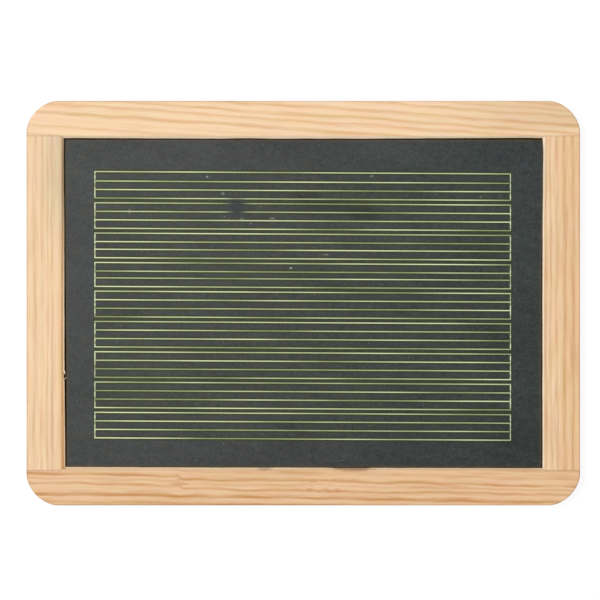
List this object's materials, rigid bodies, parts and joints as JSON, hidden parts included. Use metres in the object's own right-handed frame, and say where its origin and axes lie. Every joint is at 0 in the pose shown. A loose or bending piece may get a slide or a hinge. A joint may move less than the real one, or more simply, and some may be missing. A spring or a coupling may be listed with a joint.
{
  "type": "slate writing board",
  "caption": "Flat rectangular writing slate in a rounded pine frame with slotted corners; ruled writing lines on the front and printed squares on the back.",
  "frame": {"origin": "middle of the back face of the frame, on which the board lies", "axes": "+X to the right along the writing lines, +Y to the top of the writing, +Z out of the ruled front face"},
  "size_m": [0.26, 0.19, 0.008],
  "materials": {
    "pine": "sanded, unvarnished",
    "slate": "matte",
    "ruling_ink": "matte"
  },
  "bodies": {
    "root": {"top_rail": "pine", "bottom_rail": "pine", "left_stile": "pine", "right_stile": "pine", "slate_panel": "slate", "front_ruling": "ruling_ink", "back_squares": "ruling_ink"}
  },
  "joints": []
}
